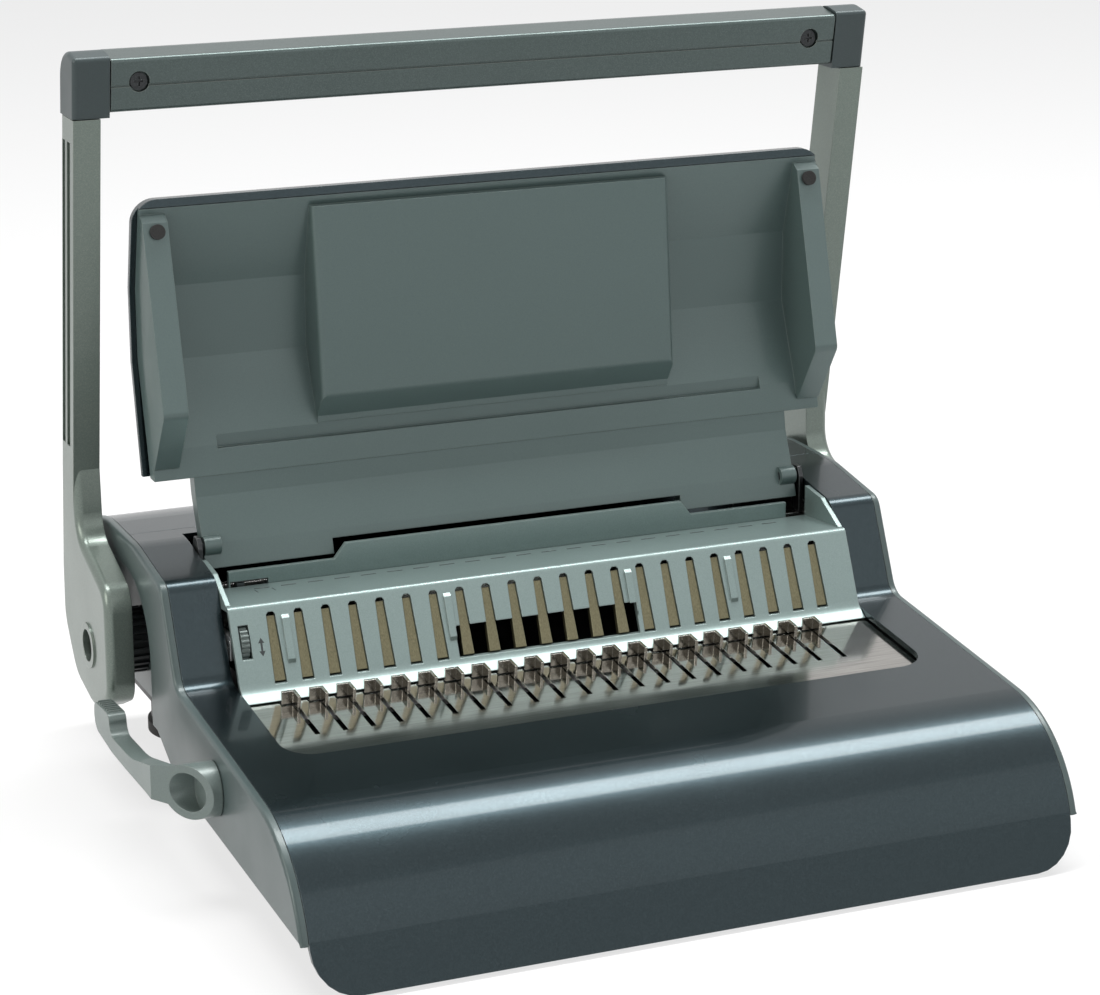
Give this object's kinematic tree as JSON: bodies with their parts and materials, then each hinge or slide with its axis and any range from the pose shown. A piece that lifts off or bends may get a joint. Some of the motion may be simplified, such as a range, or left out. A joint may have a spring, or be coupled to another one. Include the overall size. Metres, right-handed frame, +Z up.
{
  "type": "comb binding machine",
  "caption": "Desktop comb binding machine with a U-shaped punching handle, a hinged lid held open, a comb opening lever and a rear chip tray",
  "frame": {"origin": "on the table, under the middle of the machine's overall length and depth", "axes": "+X to the right as seen from the front, +Y to the back, +Z up"},
  "size_m": [0.4456, 0.394, 0.3863],
  "materials": {
    "slate_paint": "dark metallic gloss paint",
    "handle_paint": "grey-green metallic paint",
    "grey_plastic": "satin moulded plastic",
    "silver_plastic": "satin silver plastic",
    "lever_plastic": "satin light grey plastic",
    "black_plastic": "matt black plastic",
    "rubber": "black rubber",
    "brass": "yellow zinc plate",
    "polished_steel": "polished steel sheet",
    "zinc_steel": "zinc plated steel",
    "chrome": "bright plating"
  },
  "bodies": {
    "machine": {"base_pan": "black_plastic", "front_feet": "rubber", "rear_feet": "rubber", "sole_screws": "zinc_steel", "left_side_frame": "zinc_steel", "right_side_frame": "zinc_steel", "shaft_bushes": "black_plastic", "lever_bearings": "black_plastic", "top_casing": "slate_paint", "rear_hood": "slate_paint", "left_side_panel": "grey_plastic", "right_side_panel": "grey_plastic", "comb_panel": "silver_plastic", "comb_tines": "brass", "die_plate": "zinc_steel", "punch_guide": "zinc_steel", "paper_stop": "zinc_steel", "paper_rail": "silver_plastic", "deck_plate": "polished_steel", "lid_hinge_brackets": "zinc_steel", "spindle_bracket": "black_plastic", "tray_runners": "black_plastic"},
    "handle": {"drive_shaft": "zinc_steel", "drive_pinions": "zinc_steel", "left_hub": "black_plastic", "right_hub": "black_plastic", "left_arm": "handle_paint", "right_arm": "handle_paint", "arm_screws": "zinc_steel", "crossbar": "handle_paint", "crossbar_screws": "chrome", "left_end_cap": "handle_paint", "right_end_cap": "handle_paint"},
    "punch": {"punch_bar": "zinc_steel", "punch_pins": "zinc_steel"},
    "lid": {"lid_liner": "grey_plastic", "lid_shell": "slate_paint", "lid_bumpers": "rubber", "lid_hinge_pins": "zinc_steel"},
    "lever": {"comb_lever": "lever_plastic", "lever_shaft": "zinc_steel", "lever_pinions": "zinc_steel"},
    "hooks": {"hook_plate": "zinc_steel", "comb_hooks": "chrome"},
    "guide_wheel": {"thumbwheel": "grey_plastic", "guide_spindle": "zinc_steel"},
    "guide": {"edge_guide": "black_plastic"},
    "tray": {"chip_tray": "black_plastic"}
  },
  "joints": [
    {"name": "handle_turn", "type": "hinge", "parent": "machine", "child": "handle", "pos_m": [0.00422, 0.09685, 0.079], "axis": [1, 0, 0], "range_deg": [0, 88]},
    {"name": "punch_slide", "type": "slide", "parent": "machine", "child": "punch", "axis": [0, -1, 0], "range_m": [0, 0.0154]},
    {"name": "lid_turn", "type": "hinge", "parent": "machine", "child": "lid", "pos_m": [0.00422, 0.05645, 0.138], "axis": [1, 0, 0], "range_deg": [0, 116.5]},
    {"name": "lever_turn", "type": "hinge", "parent": "machine", "child": "lever", "pos_m": [0.00422, -0.06555, 0.057], "axis": [1, 0, 0], "range_deg": [0, 125]},
    {"name": "hook_slide", "type": "slide", "parent": "machine", "child": "hooks", "axis": [0, -0.9958, -0.092], "range_m": [0, 0.0263]},
    {"name": "wheel_turn", "type": "hinge", "parent": "machine", "child": "guide_wheel", "pos_m": [0.00422, 0.00365, 0.1028], "axis": [1, 0, 0], "range_deg": [0, 180]},
    {"name": "guide_slide", "type": "slide", "parent": "machine", "child": "guide", "axis": [1, 0, 0], "range_m": [0, 0.0101]},
    {"name": "tray_slide", "type": "slide", "parent": "machine", "child": "tray", "axis": [0, 1, 0], "range_m": [0, 0.13]}
  ],
  "couplings": [
    {"joint": "punch_slide", "follows": "handle_turn", "m_per_rad": 0.01},
    {"joint": "hook_slide", "follows": "lever_turn", "m_per_rad": 0.012},
    {"joint": "guide_slide", "follows": "wheel_turn", "m_per_rad": 0.003183}
  ]
}
